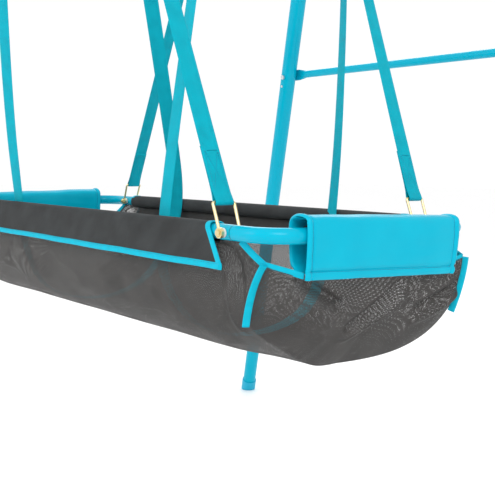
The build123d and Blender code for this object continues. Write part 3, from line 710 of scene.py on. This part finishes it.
# ---------------------------------------------------------------- sleeves
# Each long tube lies in a sleeve of charcoal oxford cloth. Its skirt hangs on the outside,
# over the top of the mesh, and is bound with turquoise tape round its three free edges.
OXFORD_THICK = 0.0009
SLEEVE_WRAP = tube_r + 0.0022
SKIRT_OUT = 0.016
SKIRT_DROP = 0.0555
SLEEVE_SLANT = 0.017
HEM_TAPE_IN = 0.003      # from the cloth's cut edge to the middle of its tape
sleeve_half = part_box("sleeve_far")[1].x


def oxford_cloth():
    """Charcoal polyester oxford: a matt basket weave of paired yarns."""
    material, tree, shader = new_material("polyester_oxford_cloth", Roughness=0.85,
                                          Specular_IOR_Level=0.2)
    place = add_node(tree, "UVMap", {}, uv_map="cloth").outputs["UV"]
    # Real yarns are 0.5 mm apart; they are drawn at 1.6 mm, to show.
    weave = add_node(tree, "TexChecker", {"Vector": place, "Scale": 1 / 0.0016,
                                          "Color1": linear("#464849"), "Color2": linear("#3C3E3F")})
    patches = add_node(tree, "TexNoise", {"Vector": place, "Scale": 22.0, "Detail": 5.0}).outputs["Fac"]
    tone = add_node(tree, "Mix", {"Factor": patches, 6: linear("#8C8A88"), 7: linear("#FFFFFF")},
                    data_type="RGBA").outputs[2]
    colour = add_node(tree, "Mix", {"Factor": 1.0, 6: weave.outputs["Color"], 7: tone},
                      data_type="RGBA", blend_type="MULTIPLY")
    tree.links.new(colour.outputs[2], shader.inputs["Base Color"])
    gloss = add_node(tree, "MapRange", {"Value": patches, "To Min": 0.7, "To Max": 0.9})
    tree.links.new(gloss.outputs[0], shader.inputs["Roughness"])
    raised = add_node(tree, "Bump", {"Height": weave.outputs["Fac"], "Distance": 0.0002, "Strength": 0.6})
    tree.links.new(raised.outputs["Normal"], shader.inputs["Normal"])
    return material


def sleeve_section(x, side):
    """Section of a sleeve at x, from the skirt's hem, over the tube, and back to the skirt."""
    hang = noise.noise(Vector((x * 4.5, side * 3.1, 0.4)))
    wave = noise.noise(Vector((x * 11, side * 1.7, 2.2)))
    hem = Vector((0, SKIRT_OUT + 0.0025 + 0.0025 * hang, -SKIRT_DROP + 0.0012 * wave))
    waist = Vector((0, SKIRT_OUT + 0.0008 + 0.0015 * wave, -0.030))
    control = [hem, hem.lerp(waist, 0.5) + Vector((0, 0.0006 * hang, 0)), waist,
               Vector((0, SLEEVE_WRAP + 0.0008, -0.006)),
               Vector((0, SLEEVE_WRAP + 0.0004, 0.008)), Vector((0, SLEEVE_WRAP * 0.55, SLEEVE_WRAP)),
               Vector((0, -SLEEVE_WRAP * 0.45, SLEEVE_WRAP)), Vector((0, -SLEEVE_WRAP - 0.0006, 0.006)),
               Vector((0, -SLEEVE_WRAP - 0.0002, -0.008)), Vector((0, -SLEEVE_WRAP * 0.5, -SLEEVE_WRAP)),
               Vector((0, SLEEVE_WRAP * 0.5, -SLEEVE_WRAP - 0.0015)),
               Vector((0, SKIRT_OUT - 0.0014, -0.0185))]
    section = []
    for place in smooth_line(control, 5):
        # The ends are cut on a slant: longest at the skirt's hem, shortest over the tube.
        slant = SLEEVE_SLANT * (-place.z / SKIRT_DROP * 2 - 1) if place.y > 0 else -SLEEVE_SLANT
        # The slant comes in over the last sixth of the way to each end.
        slant *= smooth_step(abs(x) / sleeve_half * 6 - 5)
        section.append(Vector((x + (slant if x > 0 else -slant), side * (rim_y + place.y),
                               rim_z + place.z)))
    return section


oxford = oxford_cloth()
SLEEVE_STATIONS = 131
for side_name, side in (("near", -1), ("far", 1)):
    stations = [sleeve_half * (2 * i / (SLEEVE_STATIONS - 1) - 1) for i in range(SLEEVE_STATIONS)]
    rows = [sleeve_section(x, side) for x in stations]
    if side > 0:
        rows = rows[::-1]
    sleeve = cloth(f"sleeve_cloth_{side_name}", rows, oxford)
    thicken(sleeve, OXFORD_THICK)
    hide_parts(f"sleeve_{side_name}")

    ordered = rows if side < 0 else rows[::-1]
    hem_line = [row[0] + along_z * HEM_TAPE_IN for row in ordered]
    hem_tape = edge_tape(f"skirt_hem_{side_name}", hem_line, [along_z] * len(hem_line))
    for end_name, row in (("left", ordered[0]), ("right", ordered[-1])):
        skirt = row[:len(row) * 5 // 8]
        inward = Vector((1 if end_name == "left" else -1, 0, 0))
        edge_tape(f"sleeve_end_{side_name}_{end_name}",
                                  [p + inward * HEM_TAPE_IN for p in skirt], [inward] * len(skirt))
    out = Vector((0, side, 0))
    stitch_line = [p + Vector((0, side * 0.0017, 0.0035)) for p in hem_line]
    hem_stitches = stitches(f"skirt_stitches_{side_name}",
                            [(stitch_line, [out] * len(stitch_line))], 0.0045, thread)


# ---------------------------------------------------------------- end cuffs
# A padded cuff of turquoise vinyl is laid over each end tube: its outer flap hangs lower than
# the inner one. The hems are turned over and stitched, which leaves a raised border.
CUFF_WALL = 0.0065
CUFF_HEM = 0.013
CUFF_SIDE_HEM = 0.010
HEM_ROLL = 0.0022        # how far a turned hem stands out, and how deep its seam's groove is
GROOVE_WIDTH = 0.0018
WRINKLE = 0.0008
EDGE_ROUND, EDGE_ROUND_WIDTH = 0.0022, 0.0012
# The crown is highest and the hem shortest at the end with the corner that is pulled in.
CROWN_TOP, CROWN_FALL = 0.031, 0.009
HEM_LEVEL, HEM_FALL = -0.0655, 0.012
end_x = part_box("end_tube_right")[1].x - tube_r
cuff_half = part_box("cuff_right")[1].y
CUFF_OUTER, CUFF_INNER = 0.0195, -0.0285    # its two flaps, out from the axis of the end tube


def glossy_vinyl():
    """PVC-coated vinyl, embossed with a fine grain: wet-looking highlights on soft folds."""
    material, tree, shader = new_material("embossed_vinyl", Roughness=0.3, Specular_IOR_Level=0.12)
    place = add_node(tree, "TexCoord", {}).outputs["Object"]
    grain = add_node(tree, "TexVoronoi", {"Vector": place, "Scale": 650.0},
                     feature="SMOOTH_F1").outputs["Distance"]
    clouds = add_node(tree, "TexNoise", {"Vector": place, "Scale": 16.0, "Detail": 4.0}).outputs["Fac"]
    colour = add_node(tree, "Mix", {"Factor": clouds, 6: linear("#00A1BD"), 7: linear("#00AEC7")},
                      data_type="RGBA")
    tree.links.new(colour.outputs[2], shader.inputs["Base Color"])
    gloss = add_node(tree, "MapRange", {"Value": clouds, "To Min": 0.24, "To Max": 0.40})
    tree.links.new(gloss.outputs[0], shader.inputs["Roughness"])
    raised = add_node(tree, "Bump", {"Height": grain, "Distance": 0.00012, "Strength": 0.5})
    tree.links.new(raised.outputs["Normal"], shader.inputs["Normal"])
    return material


def close_ends(piece):
    """Joins a swept form's edges, closes its two ends and turns its faces outwards."""
    bpy.context.view_layer.objects.active = piece
    bpy.ops.object.mode_set(mode="EDIT")
    bpy.ops.mesh.select_all(action="SELECT")
    bpy.ops.mesh.remove_doubles(threshold=0.00002)
    bpy.ops.mesh.select_non_manifold(extend=False)
    bpy.ops.mesh.fill()
    bpy.ops.mesh.select_all(action="SELECT")
    bpy.ops.mesh.normals_make_consistent(inside=False)
    bpy.ops.object.mode_set(mode="OBJECT")


def cuff_outline(y, end):
    """Line of a cuff's section, from the outer hem over the top, as (x, 0, z) from the axis."""
    far_share = (cuff_half + end * y) / (2 * cuff_half)
    crown = CROWN_TOP - CROWN_FALL * far_share + 0.0012 * noise.noise(Vector((y * 14, end * 2.0, 0.3)))
    swell = 0.0018 * noise.noise(Vector((y * 12, end * 5.0, 1.7)))
    hem = HEM_LEVEL - HEM_FALL * far_share + 0.0008 * noise.noise(Vector((y * 25, end * 3.0, 0.9)))
    outer = [(CUFF_OUTER - 0.0020, hem), (CUFF_OUTER + 0.0004 + swell, hem + 0.020),
             (CUFF_OUTER + 0.0012 + swell, -0.020), (CUFF_OUTER + 0.0010 + swell, crown - 0.018),
             (CUFF_OUTER - 0.002, crown - 0.003), (CUFF_OUTER - 0.016, crown + 0.0015),
             (CUFF_INNER + 0.014, crown + 0.001), (CUFF_INNER + 0.001, crown - 0.006),
             (CUFF_INNER - 0.0005 + swell, crown - 0.022), (CUFF_INNER + swell, -0.015),
             (CUFF_INNER + 0.001, -0.036), (CUFF_INNER + 0.004, -0.050), (CUFF_INNER + 0.019, -0.060)]
    return smooth_line([Vector((x, 0, z)) for x, z in outer], 8)


def hem_relief(distance, hem):
    """Height of a turned hem, which is a low roll, and of the groove that its seam pulls."""
    roll = math.sin(math.pi * min(max(distance / hem, 0), 1))
    return HEM_ROLL * roll - HEM_ROLL * math.exp(-((distance - hem) / GROOVE_WIDTH) ** 2)


vinyl = glossy_vinyl()
CUFF_STATIONS = 161
CUFF_BULGE = 0.011       # how far the cuff is swollen at the corner that stands out
CUFF_SHIFT = 0.009       # how far its other end is stretched along the tube, most at the outer hem
THREAD_SEAT = 0.0004     # how far a stitch stands off the vinyl
SEAM_STEPS = 60
for end_name, end in (("left", -1), ("right", 1)):
    rows, outer_lines = [], []
    for s in range(CUFF_STATIONS):
        y = cuff_half * (2 * s / (CUFF_STATIONS - 1) - 1)
        line = cuff_outline(y, end)
        run = distances(line)
        from_side = cuff_half - abs(y)
        outer, inner = [], []
        for i, place in enumerate(line):
            way = direction(line, i)
            out = Vector((way.z, 0, -way.x))
            relief = hem_relief(min(run[i], run[-1] - run[i]), CUFF_HEM)
            relief += hem_relief(from_side, CUFF_SIDE_HEM)
            relief -= EDGE_ROUND * math.exp(-from_side / EDGE_ROUND_WIDTH)
            wrinkle = WRINKLE * noise.noise(Vector((place.x * 40, y * 22, place.z * 60 + end * 7)))
            bulge = CUFF_BULGE * max(end * y / cuff_half, 0) ** 4 * math.sin(math.pi * run[i] / run[-1])
            bulge -= CUFF_SHIFT * max(-end * y / cuff_half, 0) * (1 - 0.5 * run[i] / run[-1])
            level = Vector((end * (end_x + place.x), y + end * bulge, rim_z + place.z))
            out = Vector((end * out.x, 0, out.z))
            outer.append(level + out * (relief + wrinkle))
            inner.append(level - out * (CUFF_WALL * (1 - 0.45 * math.exp(-from_side / 0.003))))
        outer_lines.append(outer)
        ring = outer + inner[::-1]
        rows.append(ring + ring[:1])
    cuff = cloth(f"cuff_vinyl_{end_name}", rows, vinyl)
    close_ends(cuff)
    cuff.data.set_sharp_from_angle(angle=math.radians(60))
    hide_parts(f"cuff_{end_name}")

    # Seams along the outer hem and both side hems, each in its groove.
    seams = []
    seam_share = CUFF_HEM / distances(outer_lines[0])[-1]
    spacing = 2 * cuff_half / (CUFF_STATIONS - 1)
    inset = round(CUFF_SIDE_HEM / spacing)
    hem_seam = [at_share(line, seam_share) for line in outer_lines[inset:-inset]]
    seams.append(([p + along_x * (end * THREAD_SEAT) for p in hem_seam], [along_x * end] * len(hem_seam)))
    for line in (outer_lines[inset], outer_lines[-1 - inset]):
        part = [at_share(line, seam_share + (1 - 2 * seam_share) * k / SEAM_STEPS)
                for k in range(SEAM_STEPS + 1)]
        middle = Vector((end * (end_x + (CUFF_OUTER + CUFF_INNER) / 2), part[0].y, rim_z - 0.01))
        outs = [(p - middle).normalized() for p in part]
        seams.append(([p + o * THREAD_SEAT for p, o in zip(part, outs)], outs))
    stitches(f"cuff_stitches_{end_name}", seams, 0.0040, thread)


# ---------------------------------------------------------------- foam pads
# Grey polyethylene foam between each cuff and its tube, slit along the bottom so that it can be
# pushed on from above.
FOAM_STATIONS = 61
FOAM_STEPS = 33
FOAM_WRAP = 236          # degrees of the tube that the foam goes round
FOAM_GAP = 0.0006


def cell_foam():
    """Closed-cell polyethylene foam: a dull skin dimpled with fine cells."""
    material, tree, shader = new_material("polyethylene_foam", Roughness=0.85)
    place = add_node(tree, "TexCoord", {}).outputs["Object"]
    cells = add_node(tree, "TexVoronoi", {"Vector": place, "Scale": 600.0}).outputs["Distance"]
    colour = add_node(tree, "Mix", {"Factor": cells, 6: linear("#4A4A4C"), 7: linear("#6A6A6C")},
                      data_type="RGBA")
    tree.links.new(colour.outputs[2], shader.inputs["Base Color"])
    raised = add_node(tree, "Bump", {"Height": cells, "Distance": 0.0004})
    tree.links.new(raised.outputs["Normal"], shader.inputs["Normal"])
    return material


foam = cell_foam()
for end_name, end in (("left", -1), ("right", 1)):
    low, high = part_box(f"foam_pad_{end_name}")
    half_y = high.y
    rows = []
    for s in range(FOAM_STATIONS):
        y = half_y * (2 * s / (FOAM_STATIONS - 1) - 1)
        shrink = 0.002 * math.exp(-(half_y - abs(y)) / 0.003)
        turns = [math.radians(90 + FOAM_WRAP * (k / (FOAM_STEPS - 1) - 0.5)) for k in range(FOAM_STEPS)]
        ring = [Vector((math.cos(turn), 0, math.sin(turn))) * (tube_r + FOAM_GAP) for turn in turns]
        outer = []
        for turn in reversed(turns):
            reach_x = (high.x - low.x) / 2 - shrink
            reach = tube_r + 0.0035 + 0.003 * abs(math.cos(turn)) - shrink
            lumps = 0.0006 * noise.noise(Vector((turn * 3, y * 30, end)))
            outer.append(Vector((math.cos(turn) * min(reach, reach_x), 0, math.sin(turn) * reach))
                         * (1 + lumps))
        outline = ring + outer
        rows.append([Vector((end * (end_x + p.x), y, rim_z + p.z)) for p in outline + outline[:1]])
    pad = cloth(f"foam_{end_name}", rows, foam)
    close_ends(pad)
    pad.data.set_sharp_from_angle(angle=math.radians(50))
    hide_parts(f"foam_pad_{end_name}")


# ---------------------------------------------------------------- painted steel tubes
# The stand, the hammock's tubes and the hanger clamps are steel, powder coated in turquoise.
def powder_coat(name, joint_x=0.0):
    """Polyester powder coat on steel: semi-gloss, with a faint orange peel; given joint_x, it also paints
    a dark shade line round the tubes at that joint.
    """
    material, tree, shader = new_material(name, Roughness=0.28, Specular_IOR_Level=0.15)
    place = add_node(tree, "TexCoord", {}).outputs["Object"]
    peel = add_node(tree, "TexNoise", {"Vector": place, "Scale": 420.0, "Detail": 2.0}).outputs["Fac"]
    clouds = add_node(tree, "TexNoise", {"Vector": place, "Scale": 7.0, "Detail": 5.0}).outputs["Fac"]
    coat = add_node(tree, "Mix", {"Factor": clouds, 6: linear("#009FBA"), 7: linear("#00ACC6")},
                    data_type="RGBA").outputs[2]
    if joint_x:
        # The butt joint between two tubes is painted as a thin dark line round them: painted shade, for
        # the shadow in the joint's gap.
        parts = add_node(tree, "SeparateXYZ", {"Vector": place})
        out = add_node(tree, "Math", {0: parts.outputs["X"]}, operation="ABSOLUTE").outputs[0]
        joint_shade = add_node(tree, "Math", {0: out, 1: joint_x, 2: JOINT_SHADE_HALF_WIDTH}, operation="COMPARE").outputs[0]
        coat = add_node(tree, "Mix", {"Factor": joint_shade, 6: coat, 7: linear("#00303C")},
                        data_type="RGBA").outputs[2]
    tree.links.new(coat, shader.inputs["Base Color"])
    gloss = add_node(tree, "MapRange", {"Value": peel, "To Min": 0.14, "To Max": 0.28})
    tree.links.new(gloss.outputs[0], shader.inputs["Roughness"])
    raised = add_node(tree, "Bump", {"Height": peel, "Distance": 0.00012, "Strength": 0.5})
    tree.links.new(raised.outputs["Normal"], shader.inputs["Normal"])
    return material


def finish(names, material):
    """Gives carried-over CAD pieces a material."""
    for name in names:
        for slot in nodes[name].material_slots:
            slot.material = material


# Half the width of the painted shade line at each tube joint.
JOINT_SHADE_HALF_WIDTH = 0.0007
stand_nodes = [name for name in nodes if name.startswith(
    ("top_bar", "apex_bracket", "upper_leg", "lower_leg", "brace_near", "brace_far",
     "main_hanger", "sling_hangers"))]
finish(stand_nodes, powder_coat("turquoise_powder_coat"))
finish(["long_tube_near", "long_tube_far", "end_tube_left", "end_tube_right"],
       powder_coat("turquoise_tube_coat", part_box("long_tube_far")[1].x))


# ---------------------------------------------------------------- rings and hooks
# Corner rings and webbing hooks are bent from steel wire, zinc plated and yellow passivated.
def yellow_zinc():
    """Zinc with a yellow chromate film: bright metal, tinted pale gold in uneven clouds."""
    material, tree, shader = new_material("yellow_zinc_plate", Metallic=1.0, Roughness=0.3)
    place = add_node(tree, "TexCoord", {}).outputs["Object"]
    clouds = add_node(tree, "TexNoise", {"Vector": place, "Scale": 90.0, "Detail": 4.0}).outputs["Fac"]
    colour = add_node(tree, "Mix", {"Factor": clouds, 6: linear("#D9BE7C"), 7: linear("#F4E9C4")},
                      data_type="RGBA")
    tree.links.new(colour.outputs[2], shader.inputs["Base Color"])
    gloss = add_node(tree, "MapRange", {"Value": clouds, "To Min": 0.22, "To Max": 0.42})
    tree.links.new(gloss.outputs[0], shader.inputs["Roughness"])
    raised = add_node(tree, "Bump", {"Height": clouds, "Distance": 0.0001, "Strength": 0.4})
    tree.links.new(raised.outputs["Normal"], shader.inputs["Normal"])
    return material


finish([name for name in nodes if name.startswith(("corner_ring", "main_hook", "sling_hooks"))]
       + ["ring_bolts", "ring_nuts"], yellow_zinc())


# ---------------------------------------------------------------- bolts, nuts and screws
# Standard hex bolts and nuts and pan-head screws, bright zinc plated.
def bright_zinc():
    """Bright zinc plate: blue-white metal, slightly cloudy."""
    material, tree, shader = new_material("bright_zinc_plate", Metallic=1.0, Roughness=0.32)
    place = add_node(tree, "TexCoord", {}).outputs["Object"]
    clouds = add_node(tree, "TexNoise", {"Vector": place, "Scale": 160.0, "Detail": 3.0}).outputs["Fac"]
    colour = add_node(tree, "Mix", {"Factor": clouds, 6: linear("#B9BEC2"), 7: linear("#DDE1E4")},
                      data_type="RGBA")
    tree.links.new(colour.outputs[2], shader.inputs["Base Color"])
    gloss = add_node(tree, "MapRange", {"Value": clouds, "To Min": 0.26, "To Max": 0.42})
    tree.links.new(gloss.outputs[0], shader.inputs["Roughness"])
    raised = add_node(tree, "Bump", {"Height": clouds, "Distance": 0.00008, "Strength": 0.4})
    tree.links.new(raised.outputs["Normal"], shader.inputs["Normal"])
    return material


finish(["apex_bolts", "apex_nuts", "brace_bolts", "brace_nuts", "hanger_bolts", "hanger_nuts",
        "leg_joint_screws"], bright_zinc())


# ---------------------------------------------------------------- nylon bushes and foot caps
# The hanger bushes and ring spacers are natural nylon. The foot caps are polyethylene, coloured
# turquoise through to match the paint.
def moulded_plastic(name, low, high):
    """Moulded plastic: even colour, with the faint grain of a spark-eroded mould."""
    material, tree, shader = new_material(name, Roughness=0.5)
    place = add_node(tree, "TexCoord", {}).outputs["Object"]
    grain = add_node(tree, "TexNoise", {"Vector": place, "Scale": 700.0, "Detail": 2.0}).outputs["Fac"]
    colour = add_node(tree, "Mix", {"Factor": grain, 6: linear(low), 7: linear(high)},
                      data_type="RGBA")
    tree.links.new(colour.outputs[2], shader.inputs["Base Color"])
    gloss = add_node(tree, "MapRange", {"Value": grain, "To Min": 0.42, "To Max": 0.6})
    tree.links.new(gloss.outputs[0], shader.inputs["Roughness"])
    raised = add_node(tree, "Bump", {"Height": grain, "Distance": 0.0001, "Strength": 0.6})
    tree.links.new(raised.outputs["Normal"], shader.inputs["Normal"])
    return material


finish(["hanger_bushes", "ring_spacers"], moulded_plastic("natural_nylon", "#C9C6BC", "#E2DFD6"))
finish([name for name in nodes if name.startswith("foot_cap")],
       moulded_plastic("polyethylene_cap", "#009EBE", "#00AECF"))
